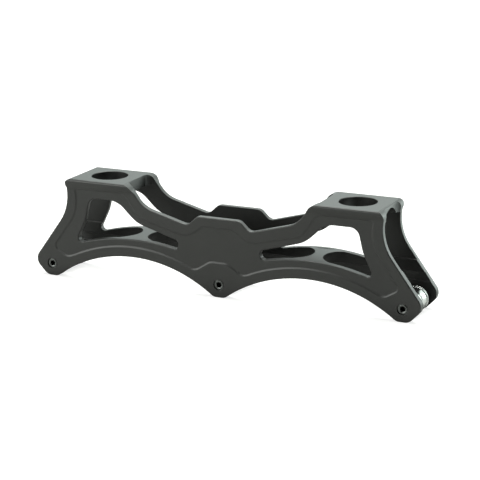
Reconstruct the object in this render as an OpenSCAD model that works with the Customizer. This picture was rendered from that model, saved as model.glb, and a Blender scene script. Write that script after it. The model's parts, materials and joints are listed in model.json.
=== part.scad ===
// Inline skate frame for three wheels: a one-piece channel body, three axles and three spacer spools.
// X runs along the skate with +X to the toe, Y runs across it and Z is up. The origin is at the middle
// of the footprint, on the surface that the bosses stand on.

/* [Wheel line] */
// Distance between neighbouring axles
pitch = 118; // [116:0.5:123]
// Height of the axle line above the underside of the bosses
axle_height = 8; // [8:0.5:10]
// Diameter of the wheels that the frame takes
wheel_d = 110; // [108:0.5:112]
// Height of the platform tops above the crown of the wheels
platform_rise = 2.2; // [2:0.1:3]

/* [Platforms] */
// Distance between the two boot mounting holes
mount_spacing = 167; // [164:0.5:172]
// Diameter of each mounting hole
mount_hole_d = 23; // [14:0.5:24]
// Length of each platform
platform_length = 45.2; // [43:0.2:47]
// How far the middle of each platform lies outside its hole
platform_shift = 0.3; // [0:0.1:1]
// Thickness of the platform slab where no wheel passes
platform_thickness = 7.2; // [6:0.2:8]
// Width over the flared lips of the platforms
lip_width = 37.5; // [36.5:0.5:39]
// How far the slab ends stand back from the ends of the plates
slab_setback = 2.7; // [1:0.1:4]
// Radius of the corners between the slab and the plates
slab_corner_r = 4; // [2:0.5:6]
// Bevel around the mouth of each mounting hole
mount_bevel = 0.3; // [0.2:0.1:1]

/* [Side plates] */
// Width over the two side plates
plate_width = 34; // [33:0.25:36]
// Plate thickness above the bridges
wall_top = 3.7; // [3.2:0.1:4]
// Plate thickness beside the bridges
wall_bridge = 4.6; // [4.3:0.1:4.8]
// Plate thickness between the bridges and the bosses
wall_low = 4.1; // [3.6:0.1:4.2]
// Plate thickness at the axle bosses
wall_boss = 4.7; // [4.4:0.1:5]
// Height over which the plates flare out to the lips
flare_height = 5.8; // [5:0.1:7]
// Height of the upright edge of the lips
lip_height = 2; // [1.9:0.1:2.4]
// Radius where the flare leaves a plate
flare_r = 6; // [4:0.5:7]
// Radius where the flare turns up into a lip
lip_r = 1.5; // [0.5:0.5:2.5]
// Radius of the upper edge of the lips
lip_top_r = 1.4; // [0.5:0.1:1.5]

/* [Plate outline] */
// How far the tips reach past the end axles
tip_reach = 13.2; // [12:0.2:14.4]
// Height of the tips above the axle line
tip_height = 1.6; // [1:0.2:3]
// Half the length of the flat under each boss
boss_half = 3.7; // [3:0.1:4.5]
// Length of the flat under an end boss, from its axle towards the tip
tip_flat = 3.9; // [3.4:0.1:4.5]
// Straight length left at the foot of each arch
arch_flank = 2; // [2:0.1:4]
// Height above the axle line where the two flanks of an arch would meet
arch_peak = 32.3; // [30:0.1:33]
// How far the waist under each platform lies inside the platform's end
waist_in = 2.6; // [1:0.1:3.5]
// Depth of the waist below the platform tops
waist_drop = 18.4; // [17.6:0.2:20]
// How far the slope from a platform runs towards the middle
slope_run = 9.8; // [9:0.1:11]
// Depth of the foot of that slope below the platform tops
slope_drop = 13.3; // [12:0.1:14]
// Depth of the two valleys beside the middle hump below the platform tops
valley_drop = 21.6; // [20:0.1:22]
// Distance of the valleys from the middle
valley_x = 20.8; // [20:0.1:22]
// Half the length of the middle hump
hump_half = 14.2; // [13:0.1:15]
// Depth of the hump below the platform tops
hump_drop = 15.3; // [14:0.1:16.5]
// Radius of the corners under the bosses
boss_r = 5; // [3:0.5:6]
// Radius of the corner between the flat of an end boss and its tip
tip_low_r = 6; // [4:0.5:7]
// Radius of the tips
tip_r = 6.5; // [5:0.5:7]
// Radius of the waists
waist_r = 30; // [20:1:32]
// Radius of the platforms' outer ends in side view
platform_r = 4; // [3:0.5:5]
// Radius between a platform and its slope
slope_top_r = 7.5; // [4:0.5:9]
// Radius at the foot of the slopes
slope_r = 18; // [10:0.5:20]
// Radius of the hump's ends and of the valleys
hump_r = 5; // [3:0.5:5.5]

/* [Windows] */
// Distance of a window's narrow end from the middle of the skate
window_start = 27.8; // [26:0.2:29]
// Height of a window's narrow end
narrow_height = 5.9; // [5.6:0.1:7]
// How far a window's narrow end leans towards the middle of the skate
narrow_lean = 0.4; // [0:0.1:1]
// Depth of a window's narrow end below the bridges' upper face
narrow_drop = 3.2; // [2.8:0.1:3.6]
// Height above the bridges' upper face where the two halves of a window's lower edge would meet
bow_peak = 3.4; // [3:0.1:3.8]
// Distance of that place from the middle of the bridge, towards the tip
bow_x = 3; // [1:0.5:5]
// Radius of a window's bowed lower edge
bow_r = 130; // [100:5:135]
// Depth of a window's low corner below the bridges' upper face
foot_drop = 6.6; // [6:0.1:7]
// Distance of a window's low corner from the end axle
foot_in = 17.5; // [16:0.1:20]
// Width of the post between a window and the waist
post_width = 11; // [10:0.1:13]
// Height of the post's bend above the bridges' upper face
post_bend = 9.2; // [8:0.2:11]
// How far the post leans towards the middle of the skate above its bend
post_lean = 3.3; // [2.5:0.1:4]
// Radius of the post's bend
post_r = 25; // [15:1:30]
// Depth of the windows' upper edge below the platform tops
window_drop = 11.7; // [11:0.1:13]
// Where a window's upper edge starts, from the inner end of the platform
window_top_in = 8.2; // [7:0.2:9.4]
// Height of the bend in a window's upper edge above the bridges' upper face
window_bend = 11; // [10:0.2:12]
// Distance of that bend from the inner end of the platform
window_bend_out = 4.9; // [4:0.1:6]
// Radius of that bend
window_bend_r = 20; // [10:0.5:22]
// Radius of the upper corner of a window at the post
window_top_r = 6.2; // [5:0.1:7]
// Radius of the upper corner of a window at the slope
window_slope_r = 14; // [8:0.5:16]
// Radius of the other corners of a window
window_r = 2.5; // [1.5:0.1:2.7]

/* [Panels] */
// Depth of the shallow panel on the outside of each plate
panel_depth = 0.5; // [0.2:0.1:0.8]
// Width of the raised rim along the platforms and waists
rim_width = 5.4; // [4.5:0.1:6]
// Extra width of the rim along the slopes and valleys
rim_extra = 1.5; // [0.5:0.1:2.5]
// Half the length of the panel's edge over the middle boss
panel_boss_half = 5.5; // [5:0.1:6.5]
// Height of that edge above the thick part of the bosses
panel_boss_rise = 3.8; // [3:0.1:4.5]
// Distance of the panel's feet at the middle boss from the middle axle
panel_foot = 16; // [15:0.2:18]
// Depth of those feet below the top of the thick part of the bosses
panel_foot_drop = 3; // [2:0.1:4]
// Distance of the panel's feet at the end bosses from the end axles
panel_end_foot = 11.6; // [11:0.2:14]
// Depth of those feet below the top of the thick part of the bosses
panel_end_drop = 4.8; // [4:0.1:5]
// Height above the thick part of the bosses where the panel's lower edges would meet over an arch
panel_arch_rise = 14.9; // [14:0.1:16]
// Distance of the panel's tip from the end axle
panel_tip_in = 0.6; // [0:0.1:2]
// Height of the panel's tip above the thick part of the bosses
panel_tip_rise = 1.7; // [1:0.1:3]
// Depth of the panel's bend at the waist below the waist itself
panel_waist_drop = 2; // [1:0.1:3]
// How far the panel's end leans in under a platform
panel_lean = 0.9; // [0:0.1:2]
// How far the panel lies inside the slopes
panel_slope_in = 2.8; // [2:0.1:4]
// How far the panel lies inside the ends of the hump
panel_hump_in = 3.7; // [3:0.1:5]
// Radius of the panel's edge over an arch
panel_arch_r = 95; // [60:1:100]
// Radius of the feet and of the edge over the middle boss
panel_foot_r = 6.5; // [4:0.5:7]
// Radius of the panel's tips
panel_tip_r = 4; // [2:0.5:5]
// Radius of the panel's bend at the waist
panel_waist_r = 26; // [16:1:28]
// Radius of the panel's corners between a platform and its slope
panel_slope_r = 8; // [4:0.5:9]
// Radius of the panel's bends at the slopes and valleys
panel_bend_r = 12; // [6:0.5:14]
// Radius of the panel's sharper corners
panel_r = 2.5; // [1.5:0.1:3]

/* [Bridges] */
// Height of the bridges' upper face above the axle line
bridge_top = 22; // [21:0.2:23]
// Height of the bridges' lower face above the axle line
bridge_bottom = 14.4; // [13:0.2:16]
// Height above the axle line up to which the bosses are thicker
boss_top = 9.6; // [9:0.2:11]
// Room around a wheel at the bridges
bridge_gap = 4.5; // [3.5:0.1:4.6]
// Room around a wheel under the platforms
platform_gap = 2; // [1:0.1:2.2]
// How far a wheel's tread falls from its crown to its sides
tread_fall = 12; // [10:0.5:14]

/* [Axles] */
// Diameter of the axles
axle_d = 8; // [6:0.5:8]
// Radial clearance of every running fit
fit = 0.05; // [0.02:0.01:0.1]
// Diameter of the axle heads
head_d = 12; // [10.5:0.5:12.5]
// Thickness of the axle heads
head_t = 2.4; // [1.6:0.1:2.6]
// How far each head stands out of the plate
head_proud = 0.4; // [0.2:0.1:0.6]
// Radial room around each head in the far plate
head_room = 0.3; // [0.2:0.05:0.5]
// Width across the flats of the key sockets
socket_af = 3; // [2.5:0.5:4]
// Depth of the key sockets
socket_depth = 3.5; // [2:0.5:4]
// Diameter of the plain tip at the near end of each axle
tip_d = 5.7; // [5:0.1:6]
// Radial room around each tip in the near plate
tip_room = 0.55; // [0.3:0.05:0.7]
// Thickness of the lip that stops each axle at the near face
bore_lip = 1; // [0.9:0.1:1.4]
// Bevel around the tip of each axle
tip_bevel = 0.2; // [0.1:0.1:0.2]
// Bevel around the head of each axle
head_bevel = 0.4; // [0.2:0.1:0.8]
// How far the tip sits below the face of the near plate
tip_sunk = 0.4; // [0.2:0.1:0.6]

/* [Spools] */
// Diameter of the spool flanges
spool_d = 15.8; // [14.8:0.2:15.8]
// Diameter of the spool barrel
barrel_d = 14.2; // [12:0.1:14.5]
// Length of each spool
spool_length = 13.6; // [12:0.2:16]
// Thickness of each flange
flange_t = 1.8; // [0.8:0.1:2]
// Bevel on the flange edges
flange_bevel = 0.3; // [0.1:0.1:0.4]
// Where along its axle each spool sits, from the middle towards the far plate
spool_shift = 1.5; // [-3:0.5:3]

/* [Hidden] */
$fn = 96;

// Overlap that carries a cut or a joined block past a face
over = 1;
// Largest turn of one step along a rounded corner, in degrees, and its largest length
arc_step = 7.5;
arc_length = 3.5;
// Turn of one step along the rounded tread of a wheel, in degrees
tread_step = 10;

wheel_r = wheel_d / 2;
platform_top = wheel_r + platform_rise;
slab_bottom = platform_top - platform_thickness;
half_plate = plate_width / 2;
half_lip = lip_width / 2;
half_top = half_plate - wall_top;
half_bridge = half_plate - wall_bridge;
half_low = half_plate - wall_low;
half_boss = half_plate - wall_boss;
mount_x = mount_spacing / 2;
// The ends of a platform, towards the middle of the skate and towards its tip
inner_x = mount_x + platform_shift - platform_length / 2;
outer_x = mount_x + platform_shift + platform_length / 2;
full_length = 2 * (pitch + tip_reach + over);

// Rounded outlines: each corner is [x, y, radius], and a radius of 0 leaves it sharp
function unit(v) = v / norm(v);
function flat(c) = [c[0], c[1]];
function turn(a, b) = a - b > 180 ? a - b - 360 : a - b < -180 ? a - b + 360 : a - b;
function round_corner(a, b, c, r) = r == 0 ? [b] :
    let (
        u = unit(a - b),
        v = unit(c - b),
        half = acos(u * v) / 2,
        centre = b + unit(u + v) * r / sin(half),
        start = b + u * r / tan(half) - centre,
        end = b + v * r / tan(half) - centre,
        from = atan2(start.y, start.x),
        swing = turn(atan2(end.y, end.x), from),
        steps = ceil(max(abs(swing) / arc_step, abs(swing) * r * PI / 180 / arc_length))
    )
    [for (i = [0:steps]) centre + r * [cos(from + swing * i / steps), sin(from + swing * i / steps)]];
function outline(corners) =
    let (n = len(corners))
    [for (i = [0:n - 1])
        each round_corner(flat(corners[(i + n - 1) % n]), flat(corners[i]), flat(corners[(i + 1) % n]),
            corners[i][2])];
function mirrored(half) =
    concat(half, [for (i = [len(half) - 1:-1:0]) [-half[i][0], half[i][1], half[i][2]]]);

// Side view of the plates, front half, from the middle boss round the tip to the hump in the middle
arch_rise = arch_peak + axle_height;
arch_run = pitch / 2 - boss_half;
arch_r = (norm([arch_run, arch_rise]) - arch_flank) * arch_run / arch_rise;
waist_x = outer_x - waist_in;
waist_z = platform_top - waist_drop;
plate_corners = mirrored([
    [boss_half, -axle_height, boss_r],
    [pitch / 2, arch_peak, arch_r],
    [pitch - boss_half, -axle_height, boss_r],
    [pitch + tip_flat, -axle_height, tip_low_r],
    [pitch + tip_reach, tip_height, tip_r],
    [waist_x, waist_z, waist_r],
    [outer_x, platform_top, platform_r],
    [inner_x, platform_top, slope_top_r],
    [inner_x - slope_run, platform_top - slope_drop, slope_r],
    [valley_x, platform_top - valley_drop, hump_r],
    [hump_half, platform_top - hump_drop, hump_r],
]);

// Window in the front half of the plates: narrow end, bowed lower edge, low corner, post, upper edge
window_top = platform_top - window_drop;
narrow_z = bridge_top - narrow_drop;
post_x = waist_x - post_width;
window_corners = [
    [window_start, narrow_z, window_r],
    [pitch / 2 + bow_x, bridge_top + bow_peak, bow_r],
    [pitch - foot_in, bridge_top - foot_drop, window_r],
    [post_x, bridge_top + post_bend, post_r],
    [post_x - post_lean, window_top, window_top_r],
    [inner_x + window_top_in, window_top, window_slope_r],
    [inner_x - window_bend_out, bridge_top + window_bend, window_bend_r],
    [window_start - narrow_lean, narrow_z + narrow_height, window_r],
];

// Shallow panel on the outside of a plate, front half: over the boss, along the arch, up the post
// and back along the platform, the slope, the valley and the hump
panel_top = platform_top - rim_width;
panel_corners = mirrored([
    [panel_boss_half, boss_top + panel_boss_rise, panel_foot_r],
    [panel_foot, boss_top - panel_foot_drop, panel_foot_r],
    [pitch / 2, boss_top + panel_arch_rise, panel_arch_r],
    [pitch - panel_end_foot, boss_top - panel_end_drop, panel_foot_r],
    [pitch - panel_tip_in, boss_top + panel_tip_rise, panel_tip_r],
    [waist_x - rim_width, waist_z - panel_waist_drop, panel_waist_r],
    [outer_x - rim_width - panel_lean, panel_top, panel_r],
    [inner_x + panel_slope_in, panel_top, panel_slope_r],
    [inner_x - slope_run + panel_slope_in, panel_top - slope_drop - rim_extra, panel_bend_r],
    [valley_x, panel_top - valley_drop - rim_extra, panel_bend_r],
    [hump_half - panel_hump_in, panel_top - hump_drop, panel_r],
]);

// End view of the outside: straight plates that flare out to the lips
section_corners = mirrored([
    [half_plate, -axle_height - over, 0],
    [half_plate, platform_top - flare_height, flare_r],
    [half_lip, platform_top - lip_height, lip_r],
    [half_lip, platform_top, lip_top_r],
]);

// End view of the space between the plates, stepped as the walls thicken towards the bosses
cavity_corners = mirrored([
    [half_boss, -axle_height - over, 0],
    [half_boss, boss_top, 0],
    [half_low, boss_top, 0],
    [half_low, bridge_bottom, 0],
    [half_bridge, bridge_bottom, 0],
    [half_bridge, bridge_top, 0],
    [half_top, bridge_top, 0],
    [half_top, slab_bottom, 0],
]);

// Shapes drawn in side view, across the skate, and in end view, along it
module across(width) rotate([90, 0, 0]) linear_extrude(width, center = true) children();
module along(length) rotate([90, 0, 90]) linear_extrude(length, center = true) children();
// A solid turned about an axis across the skate, drawn with its axis up
module about_y() rotate([-90, 0, 0]) children();
module both_ends() {
    children();
    mirror([1, 0, 0]) children();
}

// Room that a wheel needs: a disc with a rounded tread
module wheel_space(gap, half_width) {
    r = wheel_r + gap;
    tread = [for (a = [-90:tread_step:90]) [r - tread_fall * (1 - cos(a)), half_width * sin(a)]];
    about_y() rotate_extrude() polygon(concat([[0, -half_width]], tread, [[0, half_width]]));
}

// The block that ties the plates together over an arch, hollowed by the wheels in front and behind
module bridge() {
    height = bridge_top - bridge_bottom;
    side_r = wheel_r + bridge_gap - tread_fall;
    length = pitch - 2 * sqrt(side_r * side_r - bridge_top * bridge_top);
    difference() {
        translate([pitch / 2, 0, bridge_bottom + height / 2])
            cube([length, 2 * half_bridge + over, height], center = true);
        for (x = [0, pitch]) translate([x, 0, 0]) wheel_space(bridge_gap, half_top);
    }
}

// Openings between the plates above the slab's underside: one in the middle and one at each tip
module slab_opening(from, to) {
    r = slab_corner_r;
    corners = [[from, -half_top, r], [to, -half_top, r], [to, half_top, r], [from, half_top, r]];
    translate([0, 0, slab_bottom - over])
        linear_extrude(platform_thickness + 2 * over) polygon(outline(corners));
}

module panel(side) {
    translate([0, side * (half_plate + half_lip) / 2, 0]) across(half_lip - half_plate + 2 * panel_depth)
        polygon(outline(panel_corners));
}

module mount_hole() {
    r = mount_hole_d / 2;
    translate([mount_x, 0, slab_bottom - over]) cylinder(r = r, h = platform_thickness + 2 * over);
    translate([mount_x, 0, platform_top - mount_bevel])
        cylinder(r1 = r, r2 = r + 2 * mount_bevel, h = 2 * mount_bevel);
}

module axle_hole() {
    about_y() cylinder(r = tip_d / 2 + tip_room, h = plate_width + 2 * over, center = true);
    translate([0, bore_lip - half_plate, 0])
        about_y() cylinder(r = axle_d / 2 + fit, h = plate_width + over);
    translate([0, half_plate - head_t + head_proud, 0])
        about_y() cylinder(r = head_d / 2 + head_room, h = head_t + over);
}

module chassis() {
    color("#404240") translate([0, 0, axle_height]) difference() {
        union() {
            difference() {
                intersection() {
                    across(lip_width + 2 * over) polygon(outline(plate_corners));
                    along(full_length) polygon(outline(section_corners));
                }
                along(full_length + over) polygon(outline(cavity_corners));
                slab_opening(-inner_x - slab_setback, inner_x + slab_setback);
                both_ends() slab_opening(outer_x - slab_setback, full_length / 2 + slab_corner_r);
                both_ends() translate([pitch, 0, 0]) wheel_space(platform_gap, half_bridge);
            }
            both_ends() bridge();
        }
        both_ends() across(lip_width) polygon(outline(window_corners));
        both_ends() mount_hole();
        for (x = [-pitch, 0, pitch]) translate([x, 0, 0]) axle_hole();
        for (side = [-1, 1]) panel(side);
    }
}

// One axle, from its sunk tip in the near plate to its head in the far plate
module axle(x) {
    r = axle_d / 2;
    start = tip_sunk - half_plate;
    shoulder = bore_lip + fit - half_plate;
    seat = half_plate - head_t + head_proud;
    color("#5a5c5c") translate([x, 0, axle_height]) about_y() difference() {
        rotate_extrude() polygon([
            [0, start],
            [tip_d / 2 - tip_bevel, start],
            [tip_d / 2, start + tip_bevel],
            [tip_d / 2, shoulder],
            [r, shoulder],
            [r, seat],
            [head_d / 2, seat],
            [head_d / 2, seat + head_t - head_bevel],
            [head_d / 2 - head_bevel, seat + head_t],
            [0, seat + head_t],
        ]);
        translate([0, 0, start - over]) socket_cut();
        translate([0, 0, seat + head_t - socket_depth]) socket_cut();
    }
}

module socket_cut() cylinder(r = socket_af / 2 / cos(30), h = socket_depth + over, $fn = 6);

// One double-flanged spool that turns freely on its axle
module spool(x) {
    bore = axle_d / 2 + fit;
    rim = spool_d / 2;
    half = spool_length / 2;
    color("#d8dadc") translate([x, spool_shift, axle_height]) about_y() rotate_extrude() polygon([
        [bore, -half],
        [rim - flange_bevel, -half],
        [rim, flange_bevel - half],
        [rim, flange_t - half],
        [barrel_d / 2, flange_t - half],
        [barrel_d / 2, half - flange_t],
        [rim, half - flange_t],
        [rim, half - flange_bevel],
        [rim - flange_bevel, half],
        [bore, half],
    ]);
}

chassis();
axle(-pitch);  // axle_rear
axle(0);  // axle_middle
axle(pitch);  // axle_front
spool(-pitch);  // spool_rear
spool(0);  // spool_middle
spool(pitch);  // spool_front
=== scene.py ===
# %% [markdown]
# An inline skate frame for three wheels: one machined aluminium body, three axles and three spacer
# spools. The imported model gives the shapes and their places, so this lesson only softens the edges,
# turns the small parts again in finer detail, paints the surfaces and sets up a small studio. All of it
# could be modelled again from nothing, but then nothing would make sure that axles and holes still fit.

import json
import math

import bmesh
import bpy
from mathutils import Matrix, Vector


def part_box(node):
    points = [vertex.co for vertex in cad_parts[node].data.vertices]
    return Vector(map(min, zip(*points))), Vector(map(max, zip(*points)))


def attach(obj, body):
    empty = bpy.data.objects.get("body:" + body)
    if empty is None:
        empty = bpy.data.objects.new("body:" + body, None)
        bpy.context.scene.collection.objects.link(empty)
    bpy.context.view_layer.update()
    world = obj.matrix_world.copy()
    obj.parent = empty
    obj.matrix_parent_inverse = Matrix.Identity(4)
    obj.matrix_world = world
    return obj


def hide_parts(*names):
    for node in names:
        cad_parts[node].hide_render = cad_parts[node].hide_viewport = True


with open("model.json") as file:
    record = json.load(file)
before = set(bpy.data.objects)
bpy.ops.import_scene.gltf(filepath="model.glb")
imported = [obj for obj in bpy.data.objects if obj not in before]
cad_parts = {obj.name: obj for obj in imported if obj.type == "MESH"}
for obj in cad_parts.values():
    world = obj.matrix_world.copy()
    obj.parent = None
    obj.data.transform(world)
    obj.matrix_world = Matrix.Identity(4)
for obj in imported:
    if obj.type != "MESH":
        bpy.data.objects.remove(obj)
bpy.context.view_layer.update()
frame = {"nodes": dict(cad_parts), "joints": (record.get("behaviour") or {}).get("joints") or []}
MM = 0.001
BODY = "frame"
PLACES = ("rear", "middle", "front")
axle_x = {place: joint["pos_m"][0] for place, joint in zip(PLACES, frame["joints"])}
axle_z = frame["joints"][0]["pos_m"][2]
print("axles at", axle_x, "height", axle_z)

# %% [markdown]
# The photograph looks at the near side from a little in front and above, through a long lens. The
# angles, distance and lens below were found by matching the outline of the model to the photograph. A
# camera could also be aimed with a Track To constraint, but a matrix built from three directions shows
# exactly what the camera does, and it takes the small roll as well.

# %% Camera
VIEW_AZIMUTH = math.radians(25.0)
VIEW_ELEVATION = math.radians(15.8)
VIEW_ROLL = math.radians(-0.45)
VIEW_DISTANCE = 954.6 * MM
VIEW_LENS = 116.8
SENSOR_WIDTH = 36.0
NEAREST_SEEN = 10 * MM
FARTHEST_SEEN = 100.0
TARGET = Vector((6.8 * MM, 0.0, axle_z + 25.0 * MM))

forward = Vector((
    -math.sin(VIEW_AZIMUTH) * math.cos(VIEW_ELEVATION),
    math.cos(VIEW_AZIMUTH) * math.cos(VIEW_ELEVATION),
    -math.sin(VIEW_ELEVATION),
))
level_right = Vector((math.cos(VIEW_AZIMUTH), math.sin(VIEW_AZIMUTH), 0.0))
roll = Matrix.Rotation(-VIEW_ROLL, 3, forward)
right = roll @ level_right
up = roll @ level_right.cross(forward)

camera_data = bpy.data.cameras.new("camera")
camera_data.sensor_width = SENSOR_WIDTH
camera_data.lens = VIEW_LENS
camera_data.clip_start = NEAREST_SEEN
camera_data.clip_end = FARTHEST_SEEN
camera = bpy.data.objects.new("camera", camera_data)
camera.matrix_world = (
    Matrix.Translation(TARGET - forward * VIEW_DISTANCE)
    @ Matrix((right, up, -forward)).transposed().to_4x4()
)
bpy.context.scene.collection.objects.link(camera)
bpy.context.scene.camera = camera
bpy.context.scene.view_settings.view_transform = "Standard"
print("camera at", [round(c, 3) for c in camera.location])

# %% [markdown]
# Every material is a small graph of shader nodes. It could be wired by hand in the Shader Editor. Here
# one function adds a node, sets its properties and joins its inputs, so each material below reads as a
# list. Colours are written as sRGB hex values, as a paint chart gives them, and turned to the linear
# values that Blender works in.

# %% Node and colour helpers
def linear(hex_colour):
    # The numbers are those of the sRGB standard
    channels = [int(hex_colour[i:i + 2], 16) / 255 for i in (1, 3, 5)]
    straight = [c / 12.92 if c <= 0.04045 else ((c + 0.055) / 1.055) ** 2.4 for c in channels]
    return (*straight, 1.0)


def add_node(tree, kind, inputs=None, **settings):
    node = tree.nodes.new(kind)
    for name, value in settings.items():
        setattr(node, name, value)
    for name, value in (inputs or {}).items():
        if isinstance(value, bpy.types.NodeSocket):
            tree.links.new(value, node.inputs[name])
        else:
            node.inputs[name].default_value = value
    return node


def new_material(name):
    material = bpy.data.materials.new(name)
    material.use_nodes = True
    material.node_tree.nodes.clear()
    return material, material.node_tree


print("black reads", [round(c, 4) for c in linear("#262827")])

# %% [markdown]
# The body is aluminium, blasted with fine beads and then anodised black. The dyed oxide layer is a hard
# clear skin, so it shines like a dielectric and not like bare metal: near black face on, pale where it
# is seen at a flat angle. Blasting leaves a fine even grain that widens every reflection. A metallic
# shader with a dark colour would lose the pale sheen on the platform tops, so the metal under the skin
# only gives the dark base colour. Inside the channel and in the holes, a near black, less shiny shader
# is mixed in as painted shade, so that these places look darker than the lamps alone make them. An
# attribute of the mesh says how much painted shade each face gets.

# %% Black anodised aluminium
GRAIN = 0.4 * MM
CLOUD = 18.0 * MM
SHADE_ATTRIBUTE = "channel_painted_shade"


def black_anodised_aluminium():
    material, tree = new_material("blasted_black_anodised_aluminium")
    place = add_node(tree, "ShaderNodeTexCoord").outputs["Object"]
    cloud = add_node(tree, "ShaderNodeTexNoise", {"Vector": place, "Scale": 1 / CLOUD, "Detail": 4.0})
    # Real blasting grain is about 0.1 mm, drawn coarser here so that it shows
    grain = add_node(tree, "ShaderNodeTexNoise", {"Vector": place, "Scale": 1 / GRAIN, "Detail": 2.0})
    dye = add_node(tree, "ShaderNodeMix", {
        "Factor": cloud.outputs["Fac"], "A": linear("#1f201e"), "B": linear("#282927"),
    }, data_type="RGBA")
    gloss = add_node(tree, "ShaderNodeMapRange", {
        "Value": grain.outputs["Fac"], "To Min": 0.36, "To Max": 0.44,
    })
    bump = add_node(tree, "ShaderNodeBump", {
        "Height": grain.outputs["Fac"], "Strength": 0.35, "Distance": 0.03 * MM,
    })
    blasted = add_node(tree, "ShaderNodeBsdfPrincipled", {
        "Base Color": dye.outputs["Result"], "Roughness": gloss.outputs["Result"], "IOR": 1.6,
        "Normal": bump.outputs["Normal"],
    })
    # A near black, less shiny shader, mixed in as painted shade inside the channel and the holes
    painted_shade_shader = add_node(tree, "ShaderNodeBsdfPrincipled", {
        "Base Color": linear("#0a0a0a"), "Roughness": 0.5, "IOR": 1.5, "Specular IOR Level": 0.15,
    })
    inside = add_node(tree, "ShaderNodeAttribute", attribute_name=SHADE_ATTRIBUTE)
    skin = add_node(tree, "ShaderNodeMixShader", {
        "Fac": inside.outputs["Fac"], 1: blasted.outputs["BSDF"], 2: painted_shade_shader.outputs["BSDF"],
    })
    add_node(tree, "ShaderNodeOutputMaterial", {"Surface": skin.outputs["Shader"]})
    return material


anodised = black_anodised_aluminium()
print("made", anodised.name)

# %% [markdown]
# The body is milled from one extruded bar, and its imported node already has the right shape. A copy of
# that mesh arrives as loose triangles, so its doubles are merged and its flat faces are joined again
# before anything is rounded. The small merging distance matters: a larger one would pinch the fine
# facets of the curved faces together.

# %% Clean copy of the body
MERGE_DISTANCE = 0.002 * MM
FLAT_ANGLE = math.radians(0.3)

body_mesh = bmesh.new()
body_mesh.from_mesh(frame["nodes"]["chassis"].data)
bmesh.ops.remove_doubles(body_mesh, verts=body_mesh.verts, dist=MERGE_DISTANCE)


def join_flat_faces(mesh, faces):
    # Keys of a dict keep their order, so that every run joins the faces in the same way
    edges = list(dict.fromkeys(edge for face in faces for edge in face.edges))
    verts = list(dict.fromkeys(vert for face in faces for vert in face.verts))
    bmesh.ops.dissolve_limit(
        mesh, angle_limit=FLAT_ANGLE, use_dissolve_boundaries=False,
        verts=verts, edges=edges, delimit=set(),
    )


join_flat_faces(body_mesh, body_mesh.faces)
print("body has", len(body_mesh.faces), "faces after cleaning")

# %% [markdown]
# Each side plate has a shallow panel, half a millimetre deep, cut with a round-nosed tool that leaves a
# soft step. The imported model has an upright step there. A bevel can't soften it, because the step is
# lower than the tool's run-out is wide. So the step is picked out first, by its depth: its faces, the
# points at its foot, its upright edges and the floor beside it.

# %% Find the step of the panels
PANEL_FLOOR = 16.5 * MM
ON_FLOOR = 0.02 * MM
STEP_FOOT = PANEL_FLOOR - 0.05 * MM
STEP_LOWEST_TOP = PANEL_FLOOR + 0.1 * MM
STEP_HIGHEST_TOP = PANEL_FLOOR + 1.4 * MM
# The largest share of an upright face's normal that points across the skate
STEP_TILT = 0.2


def on_panel_floor(vert):
    return abs(abs(vert.co.y) - PANEL_FLOOR) < ON_FLOOR


def is_panel_step(face):
    depths = [abs(vert.co.y) for vert in face.verts]
    at_panel = min(depths) > STEP_FOOT and STEP_LOWEST_TOP < max(depths) < STEP_HIGHEST_TOP
    return at_panel and abs(face.normal.y) < STEP_TILT


step_faces = {face for face in body_mesh.faces if is_panel_step(face)}
floor_faces = [face for face in body_mesh.faces if all(on_panel_floor(vert) for vert in face.verts)]
step_foot = {vert for face in step_faces for vert in face.verts if on_panel_floor(vert)}
uprights = [
    edge for edge in body_mesh.edges
    if (edge.verts[0] in step_foot) != (edge.verts[1] in step_foot)
    and all(face in step_faces for face in edge.link_faces)
]
print("panel steps:", len(step_faces), "faces,", len(uprights), "uprights")

# %% [markdown]
# The foot of the step moves in over the panel's floor, at right angles to the two faces beside each
# point. The old floor is in the way, so it goes, and only its rim is kept. Scaling the whole floor down
# would be simpler, but the strip along the step would then be wide in some places and narrow in others.

# %% Move the foot of the step
RUN_OUT = 1.5 * MM

foot_push = {}
for vert in step_foot:
    first, second = [face.normal for face in vert.link_faces if face in step_faces]
    foot_push[vert] = (first + second) / (1 + first.dot(second)) * RUN_OUT
floor_count = {}
for face in floor_faces:
    for edge in face.edges:
        floor_count[edge] = floor_count.get(edge, 0) + 1
floor_rim = [edge for edge, count in floor_count.items() if count == 1]
bmesh.ops.delete(body_mesh, geom=floor_faces, context="FACES")
for vert, push in foot_push.items():
    vert.co += push
print("moved", len(foot_push), "points, floor rim of", len(floor_rim), "edges")

# %% [markdown]
# Three rings of points between the top and the foot follow the tool's round nose. They split the upright
# edges, and joining them across the faces gives four strips. Then the floor is filled again between the
# moved line and the windows, with one fill for each side. The bridge tool could also fill it, but it
# joins loops in pairs, and this floor has more than two.

# %% Round the step and fill the floor
# Each pair is a share of the way from top to foot, and of the depth that is reached there
RUN_OUT_PROFILE = ((0.18, 0.14), (0.46, 0.56), (0.76, 0.92))

rings = [[] for _ in RUN_OUT_PROFILE]
for edge in uprights:
    foot = edge.verts[0] if edge.verts[0] in step_foot else edge.verts[1]
    head = edge.other_vert(foot)
    top_point = head.co.copy()
    for ring, (along, depth) in zip(rings, RUN_OUT_PROFILE):
        head = bmesh.utils.edge_split(edge, head, 0.5)[1]
        head.co = top_point.lerp(foot.co, along)
        head.co.y = top_point.y + (foot.co.y - top_point.y) * depth
        edge = next(part for part in head.link_edges if foot in part.verts)
        ring.append(head)
for ring in rings:
    bmesh.ops.connect_verts(body_mesh, verts=ring)

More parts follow.
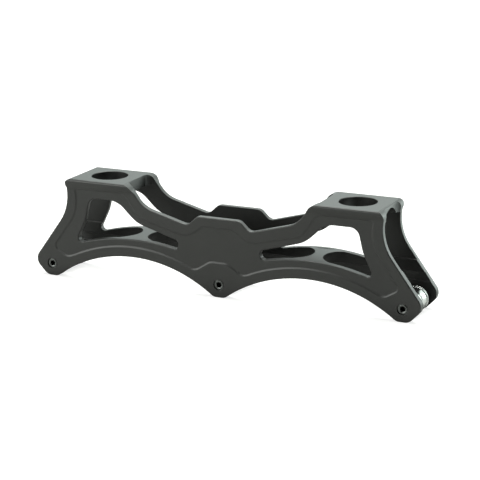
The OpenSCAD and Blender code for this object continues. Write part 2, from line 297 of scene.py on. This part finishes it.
for side in (-1, 1):
    loops = [edge for edge in floor_rim if edge.verts[0].co.y * side > 0]
    filled = bmesh.ops.triangle_fill(body_mesh, edges=loops, use_beauty=True, normal=(0, side, 0))
    faces = [item for item in filled["geom"] if isinstance(item, bmesh.types.BMFace)]
    join_flat_faces(body_mesh, faces)
body_mesh.normal_update()
print("open edges after filling:", sum(edge.is_boundary for edge in body_mesh.edges))

# %% [markdown]
# Machined edges are broken before blasting. The photograph shows a soft pale line along the outer edges
# of the side plates and round the windows, and finer ones elsewhere. Each edge gets its own rounding as
# a bevel weight, and one Bevel modifier rounds them together, so that rounded edges meet cleanly. The
# ends of the platforms are left out, because their flared lips already have a curve of their own there,
# and so are the mouths of the bays, where two curved faces cross in edges too short for a bevel.

# %% Edges inside the channel
INNER_ANGLE = math.radians(50)
BAY_WALL = 15.0 * MM
BOSS_TOP = axle_z + 11.0 * MM
SHORTEST_LEDGE = 3 * MM
BRIDGE_TOP = axle_z + 22.0 * MM
BRIDGE_HALF = 13.0 * MM
AT_BRIDGE = 0.3 * MM
WINDOW_TIP = 27.5 * MM
TIP_LENGTH = 2 * MM
TIP_HEIGHT = 3 * MM
SLAB_ENDS = (64.0 * MM, 103.6 * MM)
platform_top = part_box("chassis")[1][2]
MOUTH = platform_top - 8.0 * MM


def at_bay_mouth(point):
    return point.z > MOUTH and not SLAB_ENDS[0] < abs(point.x) < SLAB_ENDS[1]


def inside_edge(edge, point):
    if abs(point.y) > BAY_WALL or edge.calc_face_angle_signed() < INNER_ANGLE:
        return None
    if point.z < BOSS_TOP:
        level = edge.verts[0].co.z == edge.verts[1].co.z
        return "ledge" if level and edge.calc_length() > SHORTEST_LEDGE else None
    above_bridge = abs(point.z - BRIDGE_TOP)
    at_bridge = above_bridge < AT_BRIDGE and abs(point.y) > BRIDGE_HALF
    at_window_tip = above_bridge < TIP_HEIGHT and abs(abs(point.x) - WINDOW_TIP) < TIP_LENGTH
    return None if at_bridge or at_window_tip or at_bay_mouth(point) else "inner"


print("platform top at", round(platform_top / MM, 2), "mm")

# %% [markdown]
# The outer edges are told apart by where they lie and which way their faces look. Picking them by hand
# in Edit Mode would be quick too, but a rule can be read, checked and run again. Edges round the bores
# only lose their burr.

# %% Weigh every edge for its rounding
EDGE_WIDTH = {
    "rim": 0.7 * MM, "window": 0.7 * MM, "inner": 0.4 * MM, "ledge": 0.4 * MM, "bore": 0.12 * MM,
}
WIDEST = max(EDGE_WIDTH.values())
EDGE_ANGLE = math.radians(25)
SMOOTH_ANGLE = math.radians(35)
BORE_REACH = 7 * MM
# The least share of a normal that points across the skate, to either side or outwards
LOOKS_ACROSS = 0.6
LOOKS_OUT = 0.7
OUTER_FACE = PANEL_FLOOR - 0.1 * MM
FLARE = platform_top - 5.0 * MM


def edge_kind(edge):
    if len(edge.link_faces) != 2 or edge.calc_face_angle_signed() < EDGE_ANGLE:
        return None
    point = (edge.verts[0].co + edge.verts[1].co) / 2
    if any(math.hypot(point.x - x, point.z - axle_z) < BORE_REACH for x in axle_x.values()):
        return "bore"
    if all(abs(face.normal.y) > LOOKS_ACROSS for face in edge.link_faces):
        return None
    side = math.copysign(1, point.y)
    outward = any(face.normal.y * side > LOOKS_OUT for face in edge.link_faces)
    if not outward or abs(point.y) < OUTER_FACE:
        return inside_edge(edge, point)
    if all(on_panel_floor(vert) for vert in edge.verts):
        return "window"
    return "rim" if point.z < FLARE else None


weight = body_mesh.edges.layers.float.new("bevel_weight_edge")
for edge in body_mesh.edges:
    edge[weight] = EDGE_WIDTH.get(edge_kind(edge), 0.0) / WIDEST
    edge.smooth = edge[weight] > 0 or edge.calc_face_angle(0.0) < SMOOTH_ANGLE
print("edges with a rounding:", sum(edge[weight] > 0 for edge in body_mesh.edges))

# %% [markdown]
# The inside of the channel gets painted shade. The walls of the channel get a little, and the holes and
# the faces across the channel get more. A second material on these faces would do it as well, but a
# number on each face lets one material mix the finish and the painted shade in any share.

# %% Paint shade inside the channel
CHANNEL_WALL = 13.6 * MM
HOLE_REACH = 13.0 * MM
# The share of a normal that points up or down, past which a face is level enough to get no painted shade
LOOKS_UP = 0.4
# Shares of painted shade for the walls of the channel and for the holes
WALL_SHADE_SHARE = 0.3
HOLE_SHADE_SHARE = 0.48


# Walls of the channel get a little painted shade, the holes and the faces across the channel more
def painted_shade_share(face):
    middle = face.calc_center_median()
    if at_bay_mouth(middle) or abs(middle.y) > CHANNEL_WALL or abs(face.normal.z) > LOOKS_UP:
        return 0.0
    on_wall = abs(middle.y) > HOLE_REACH or middle.z < BOSS_TOP
    return WALL_SHADE_SHARE if on_wall else HOLE_SHADE_SHARE


# Each face keeps its share of painted shade in an attribute
painted_shade_layer = body_mesh.faces.layers.float.new(SHADE_ATTRIBUTE)
for face in body_mesh.faces:
    face[painted_shade_layer] = painted_shade_share(face)
print("inside faces:", sum(face[painted_shade_layer] > 0 for face in body_mesh.faces))

# %% [markdown]
# Each finished mesh becomes one piece of the scene. It rides on its body of the mechanism, wears one
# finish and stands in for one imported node. The body's edges could be rounded for good with the bevel
# operator. A modifier does the same and can still be changed, and the weighted normals after it keep
# the large faces flat to the eye.

# %% Hand the body over
def add_piece(name, mesh, body, material, replaced, sharp=40):
    data = bpy.data.meshes.new(name)
    for face in mesh.faces:
        face.smooth = True
    mesh.to_mesh(data)
    mesh.free()
    if sharp:
        data.set_sharp_from_angle(angle=math.radians(sharp))
    data.materials.append(material)
    piece = bpy.data.objects.new(name, data)
    bpy.context.scene.collection.objects.link(piece)
    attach(piece, body)
    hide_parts(replaced)
    return piece


machined_body = add_piece(
    "machined_body", body_mesh, BODY, anodised, "chassis", sharp=None,
)
broken_edges = machined_body.modifiers.new("broken_edges", "BEVEL")
broken_edges.limit_method = "WEIGHT"
broken_edges.width = WIDEST
broken_edges.segments = 3
broken_edges.profile = 0.5
broken_edges.use_clamp_overlap = False
broken_edges.loop_slide = False
even_shading = machined_body.modifiers.new("even_shading", "WEIGHTED_NORMAL")
even_shading.keep_sharp = True
print("body piece", machined_body.name)

# %% [markdown]
# The axles are turned from steel and blackened in a hot bath. The thin oxide leaves a satin grey that is
# a little uneven, and it is still a metal, so it mirrors the light in a dark tone. A dark plastic shader
# would come close from one side only. The key sockets are painted near black as painted shade, and an
# attribute of the mesh says which faces they are.

# %% Blackened steel
STAIN = 1.2 * MM
SOCKET_SHADE_ATTRIBUTE = "key_socket"


def blackened_steel():
    material, tree = new_material("turned_blackened_steel")
    place = add_node(tree, "ShaderNodeTexCoord").outputs["Object"]
    stain = add_node(tree, "ShaderNodeTexNoise", {"Vector": place, "Scale": 1 / STAIN, "Detail": 3.0})
    tone = add_node(tree, "ShaderNodeMix", {
        "Factor": stain.outputs["Fac"], "A": linear("#5e605f"), "B": linear("#7c7f7d"),
    }, data_type="RGBA")
    # The key sockets get a near black colour as painted shade
    socket = add_node(tree, "ShaderNodeAttribute", attribute_name=SOCKET_SHADE_ATTRIBUTE)
    colour = add_node(tree, "ShaderNodeMix", {
        "Factor": socket.outputs["Fac"], "A": tone.outputs["Result"], "B": linear("#1c1c1c"),
    }, data_type="RGBA")
    gloss = add_node(tree, "ShaderNodeMapRange", {
        "Value": stain.outputs["Fac"], "To Min": 0.28, "To Max": 0.42,
    })
    metal = add_node(tree, "ShaderNodeBsdfPrincipled", {
        "Base Color": colour.outputs["Result"], "Roughness": gloss.outputs["Result"], "Metallic": 1.0,
    })
    add_node(tree, "ShaderNodeOutputMaterial", {"Surface": metal.outputs["BSDF"]})
    return material


steel = blackened_steel()
print("made", steel.name)

# %% [markdown]
# Axles and spools come off a lathe, and the spin operator is Blender's lathe. A profile is a row of
# points, some of its corners are rounded while it is still flat, and then it is spun about the axle. A
# cylinder with bevelled edges could give the same shape, but a profile shows every step of it at once.

# %% Lathe
TURN_STEPS = 48
TURN_MERGE = 0.001 * MM


def turned(profile, closed=False):
    # Each point is a radius, a place along the axle and the rounding of its corner, in mm
    mesh = bmesh.new()
    verts = [mesh.verts.new((radius * MM, along * MM, 0.0)) for radius, along, _ in profile]
    following = verts[1:] + verts[:1] if closed else verts[1:]
    for first, second in zip(verts, following):
        mesh.edges.new((first, second))
    for size in sorted({size for _, _, size in profile if size}):
        corners = [vert for vert, (_, _, wanted) in zip(verts, profile) if wanted == size]
        bmesh.ops.bevel(
            mesh, geom=corners, offset=size * MM, offset_type="OFFSET", segments=3, profile=0.5,
            affect="VERTICES", material=-1,
        )
    bmesh.ops.spin(
        mesh, geom=mesh.verts[:] + mesh.edges[:], cent=(0, 0, 0), axis=(0, 1, 0),
        angle=2 * math.pi, steps=TURN_STEPS, use_merge=True,
    )
    bmesh.ops.remove_doubles(mesh, verts=mesh.verts, dist=TURN_MERGE)
    return mesh


print("lathe turns in", TURN_STEPS, "steps")

# %% [markdown]
# A hexagon socket for the key is broached into both ends of an axle. A boolean with a hexagonal bar
# would cut it too, but it leaves long thin triangles. Here the hexagon is bridged to the round opening
# of the turned mesh, and its sides go down to the cone that the drill left.

# %% Key sockets
KEY_SIDES = 6
KEY_FLATS = 3.2 * MM
KEY_DEPTH = 4.0 * MM
DRILL_CONE = KEY_FLATS / 4


def cut_key_socket(mesh, mouth, inward, turn):
    rim = [edge for edge in mesh.edges if edge.is_boundary and edge.verts[0].co.y * inward < 0]
    upright = Matrix.Rotation(math.pi / 2, 4, "X")
    stand = Matrix.Translation((0, mouth, 0)) @ Matrix.Rotation(turn, 4, "Y") @ upright
    radius = KEY_FLATS / 2 / math.cos(math.pi / KEY_SIDES)
    ring = bmesh.ops.create_circle(mesh, segments=KEY_SIDES, radius=radius, matrix=stand)["verts"]
    sides = list(dict.fromkeys(edge for vert in ring for edge in vert.link_edges))
    bmesh.ops.subdivide_edges(mesh, edges=sides, cuts=len(rim) // KEY_SIDES - 1)
    sides = [edge for edge in mesh.edges if edge.is_wire]
    bmesh.ops.bridge_loops(mesh, edges=rim + sides)
    walls = bmesh.ops.extrude_edge_only(mesh, edges=sides)["geom"]
    bottom = [item for item in walls if isinstance(item, bmesh.types.BMVert)]
    bmesh.ops.translate(mesh, verts=bottom, vec=(0, inward * KEY_DEPTH, 0))
    ends = [item for item in walls if isinstance(item, bmesh.types.BMEdge) and item.is_boundary]
    cone = bmesh.ops.extrude_edge_only(mesh, edges=ends)["geom"]
    tip = [item for item in cone if isinstance(item, bmesh.types.BMVert)]
    depth = mouth + inward * (KEY_DEPTH + DRILL_CONE)
    bmesh.ops.pointmerge(mesh, verts=tip, merge_co=(0, depth, 0))


print("key is", round(KEY_FLATS / MM, 2), "mm across flats")

# %% [markdown]
# An axle goes in from the far side, where its flat head sits in the plate, and screws into the near one.
# The near tip is narrower than the thread and fills most of the hole in the plate's lip, so a thin dark
# ring shows round it. The thread ends at the lip. It is hidden in the plate and stays a plain cylinder,
# because cut turns would cost many faces that nobody sees. The ends are dished a little towards their
# sockets, which stand at different angles, as tightening leaves them.

# %% Turn the axles
# Radii, lengths and corner roundings are in mm, and turns of the sockets in radians
SHAFT = 4.0
TIP = 2.85
TIP_LONG = 0.65
THREAD = 3.9
THREAD_END = 3.0
SHAFT_START = 3.2
HEAD = 6.0
HEAD_THICK = 2.4
MOUTH_RING = 2.1
DISH = 0.25
FINE_CORNER = 0.1
SOFT_CORNER = 0.2
HEAD_CORNER = 0.4
SOCKET_REACH = 0.95 * MOUTH_RING * MM
NEAR_KEY_TURNS = (0.3, 0.7, 1.1)
FAR_KEY_TURNS = (0.2, 0.7, 1.2)


def in_socket(face):
    return all(math.hypot(vert.co.x, vert.co.z) < SOCKET_REACH for vert in face.verts)


for place, near_turn, far_turn in zip(PLACES, NEAR_KEY_TURNS, FAR_KEY_TURNS):
    low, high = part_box("axle_" + place)
    near, far = low[1] / MM, high[1] / MM
    seat = far - HEAD_THICK
    mesh = turned((
        (MOUTH_RING, near, 0), (TIP, near, SOFT_CORNER), (TIP, near + TIP_LONG, 0),
        (THREAD, near + TIP_LONG, FINE_CORNER), (THREAD, near + THREAD_END, 0),
        (SHAFT, near + SHAFT_START, 0), (SHAFT, seat, 0), (HEAD, seat, FINE_CORNER),
        (HEAD, far, HEAD_CORNER), (MOUTH_RING, far, 0),
    ))
    cut_key_socket(mesh, (near + DISH) * MM, 1, near_turn)
    cut_key_socket(mesh, (far - DISH) * MM, -1, far_turn)
    bmesh.ops.remove_doubles(mesh, verts=mesh.verts, dist=TURN_MERGE)
    bmesh.ops.recalc_face_normals(mesh, faces=mesh.faces)
    # Faces in the key sockets are marked for painted shade
    socket_shade_layer = mesh.faces.layers.float.new(SOCKET_SHADE_ATTRIBUTE)
    for face in mesh.faces:
        face[socket_shade_layer] = float(in_socket(face))
    bmesh.ops.translate(mesh, verts=mesh.verts, vec=(axle_x[place], 0, axle_z))
    print("axle", place, len(mesh.faces), "faces, open edges", sum(e.is_boundary for e in mesh.edges))
    add_piece("turned_axle_" + place, mesh, BODY, steel, "axle_" + place)

# %% [markdown]
# The spools are turned from aluminium and polished, so they mirror the white surround and the dark
# plates in bright and black bands. Fine rings left by the tool run round the barrel and change the gloss
# a little. Cut as real grooves they would be far too fine for a mesh, so a wave in the roughness stands
# for them.

# %% Polished aluminium
TOOL_RING = 0.5 * MM
# A wave texture at a scale of 1 repeats at this length
UNIT_WAVE = math.pi / 10


def polished_aluminium():
    material, tree = new_material("turned_polished_aluminium")
    place = add_node(tree, "ShaderNodeTexCoord").outputs["Object"]
    # Tool marks are about 0.1 mm apart, drawn coarser here so that they show
    rings = add_node(tree, "ShaderNodeTexWave", {
        "Vector": place, "Scale": UNIT_WAVE / TOOL_RING, "Distortion": 0.6, "Detail": 2.0,
    }, wave_type="BANDS", bands_direction="Y")
    gloss = add_node(tree, "ShaderNodeMapRange", {
        "Value": rings.outputs["Fac"], "To Min": 0.09, "To Max": 0.15,
    })
    metal = add_node(tree, "ShaderNodeBsdfPrincipled", {
        "Base Color": linear("#dadcda"), "Roughness": gloss.outputs["Result"], "Metallic": 1.0,
    })
    add_node(tree, "ShaderNodeOutputMaterial", {"Surface": metal.outputs["BSDF"]})
    return material


polished = polished_aluminium()
print("made", polished.name)

# %% [markdown]
# A spool keeps a wheel's place on the axle while the wheel is off. It could be three cylinders set end
# to end, but its two flanges and its barrel are one turned piece, so they are one closed profile, spun
# like the axles. Each spool turns freely and rides on a body of its own.

# %% Turn the spools
# Radii and the flange's thickness are in mm
BORE = 4.05
BARREL = 7.1
FLANGE = 1.8
for place in PLACES:
    low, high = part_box("spool_" + place)
    near, far = low[1] / MM, high[1] / MM
    rim = (high[0] - low[0]) / 2 / MM
    mesh = turned((
        (BORE, near, SOFT_CORNER), (rim, near, SOFT_CORNER),
        (rim, near + FLANGE, FINE_CORNER), (BARREL, near + FLANGE, SOFT_CORNER),
        (BARREL, far - FLANGE, SOFT_CORNER), (rim, far - FLANGE, FINE_CORNER),
        (rim, far, SOFT_CORNER), (BORE, far, SOFT_CORNER),
    ), closed=True)
    bmesh.ops.recalc_face_normals(mesh, faces=mesh.faces)
    bmesh.ops.translate(mesh, verts=mesh.verts, vec=(axle_x[place], 0, axle_z))
    print("spool", place, len(mesh.faces), "faces, open edges", sum(e.is_boundary for e in mesh.edges))
    add_piece("turned_spool_" + place, mesh, "spool_" + place, polished, "spool_" + place)

# %% [markdown]
# The photograph was taken in front of white. A white world as bright as the picture's background would
# light the object from everywhere and wash out its edges. So the surround is white for the camera only,
# and gives the object just a little light of its own.

# %% White surround
SURROUND_LIGHT = 0.05
SURROUND_SEEN = 1.0


def camera_rays(tree):
    path = add_node(tree, "ShaderNodeLightPath")
    return add_node(tree, "ShaderNodeMath", {
        0: path.outputs["Is Camera Ray"], 1: path.outputs["Is Transmission Ray"],
    }, operation="MAXIMUM").outputs["Value"]


world = bpy.data.worlds.new("white_surround")
bpy.context.scene.world = world
world.use_nodes = True
tree = world.node_tree
tree.nodes.clear()
plain = add_node(tree, "ShaderNodeBackground", {"Color": linear("#ffffff"), "Strength": SURROUND_LIGHT})
white = add_node(tree, "ShaderNodeBackground", {"Color": linear("#ffffff"), "Strength": SURROUND_SEEN})
either = add_node(tree, "ShaderNodeMixShader", {
    "Fac": camera_rays(tree), 1: plain.outputs["Background"], 2: white.outputs["Background"],
})
add_node(tree, "ShaderNodeOutputWorld", {"Surface": either.outputs["Shader"]})
print("made", world.name)

# %% [markdown]
# A sheet of paper lies under the object. It is pale grey, so that it keeps a faint shadow, and it glows
# for the camera, more with the distance, so that it reads as white to the far edge. A mirror-like
# surface sees something else: paper that rises into the light behind the object, on the right. A real
# studio bends its paper up there. Here that sweep is only a glow in reflections, faintly green like the
# pale edges in the photograph, and the floor stays flat.

# %% Paper of the floor
# Lengths are in metres
SWEEP_WAY = (0.8, 0.6, 0.0)
SWEEP_FROM = 0.1
SWEEP_TO = 0.35
SWEEP_GLOW = 1.9
FADE_FROM = 0.5
FADE_TO = 1.5
NEAR_GLOW = 0.75
FAR_GLOW = 1.0

paper, tree = new_material("white_studio_paper")
spot = add_node(tree, "ShaderNodeTexCoord").outputs["Object"]
away = add_node(tree, "ShaderNodeVectorMath", {0: spot, 1: SWEEP_WAY}, operation="DOT_PRODUCT")
sweep = add_node(tree, "ShaderNodeMapRange", {
    "Value": away.outputs["Value"], "From Min": SWEEP_FROM, "From Max": SWEEP_TO,
    "To Min": 0.0, "To Max": SWEEP_GLOW,
}).outputs["Result"]
mirrored = add_node(tree, "ShaderNodeLightPath").outputs["Is Glossy Ray"]
lit_sweep = add_node(tree, "ShaderNodeMath", {
    0: mirrored, 1: sweep,
}, operation="MULTIPLY").outputs["Value"]
reach = add_node(tree, "ShaderNodeVectorMath", {0: spot}, operation="LENGTH").outputs["Value"]
fade_to_white = add_node(tree, "ShaderNodeMapRange", {
    "Value": reach, "From Min": FADE_FROM, "From Max": FADE_TO, "To Min": NEAR_GLOW, "To Max": FAR_GLOW,
}).outputs["Result"]
glow = add_node(tree, "ShaderNodeMath", {
    0: camera_rays(tree), 1: fade_to_white, 2: lit_sweep,
}, operation="MULTIPLY_ADD")
tint = add_node(tree, "ShaderNodeMix", {
    "Factor": mirrored, "A": linear("#ffffff"), "B": linear("#e8faf5"),
}, data_type="RGBA")
sheet = add_node(tree, "ShaderNodeBsdfPrincipled", {
    "Base Color": linear("#a8a8a6"), "Roughness": 0.9, "Specular IOR Level": 0.0,
    "Emission Color": tint.outputs["Result"], "Emission Strength": glow.outputs["Value"],
})
add_node(tree, "ShaderNodeOutputMaterial", {"Surface": sheet.outputs["BSDF"]})
print("made", paper.name)

# %% [markdown]
# The floor itself is one large disc at the height where the bosses stand. A plane would do as well, but
# a disc ends at the same distance on every side, which suits the even fade of its paper.

# %% Floor
FLOOR_RADIUS = 6.0
FLOOR_SIDES = 64

floor_mesh = bmesh.new()
bmesh.ops.create_circle(floor_mesh, cap_ends=True, segments=FLOOR_SIDES, radius=FLOOR_RADIUS)
floor_data = bpy.data.meshes.new("studio_floor")
floor_mesh.to_mesh(floor_data)
floor_mesh.free()
floor_data.materials.append(paper)
floor = bpy.data.objects.new("studio_floor", floor_data)
bpy.context.scene.collection.objects.link(floor)
print("floor is", 2 * FLOOR_RADIUS, "m wide")

# %% [markdown]
# The light comes from soft panels, as in a product studio. Spot lamps would give the black skin hard
# glints. The platform tops mirror a wide panel behind the object at a flat angle. One overhead, set a
# little back, lights the floor, which throws the light back on to the side plates. A low one behind on
# the right draws the pale front edges, and a weak one high at the back lifts the upper ones. The large
# panel in front stands on the left, so a panel's step turns light on the slopes that face it and dark
# on the others. A weak one on the left fills the rear end.

# %% Soft panels
def softbox(name, place, aim, size, watts, colour):
    lamp = bpy.data.lights.new(name, "AREA")
    lamp.shape = "RECTANGLE"
    lamp.size, lamp.size_y = size
    lamp.energy = watts
    lamp.color = linear(colour)[:3]
    holder = bpy.data.objects.new(name, lamp)
    holder.location = place
    holder.rotation_euler = (Vector(aim) - Vector(place)).to_track_quat("-Z", "Y").to_euler()
    bpy.context.scene.collection.objects.link(holder)


# Place, aim and size are in metres, then come the watts and the colour
MIDDLE = (0.0, 0.0, 0.03)
softbox("backdrop_panel", (0.65, 1.6, 0.75), (0.65, 0.0, 0.75), (3.8, 1.5), 25.0, "#f2fffa")
softbox("overhead_panel", (0.0, 0.34, 1.4), MIDDLE, (1.6, 1.2), 43.0, "#fcfffb")
softbox("high_back_panel", (-0.3, 1.0, 1.0), MIDDLE, (0.8, 0.6), 1.0, "#f2fffa")
softbox("right_edge_panel", (0.85, 1.4, 0.27), MIDDLE, (1.4, 0.5), 4.6, "#f4fffb")
softbox("left_panel", (-1.4, -0.3, 0.6), MIDDLE, (1.0, 1.0), 2.0, "#fcfffb")
softbox("front_panel", (-1.1, -1.2, 0.7), MIDDLE, (1.4, 1.1), 18.5, "#fcfffb")
print("studio has", len(bpy.data.lights), "soft panels")
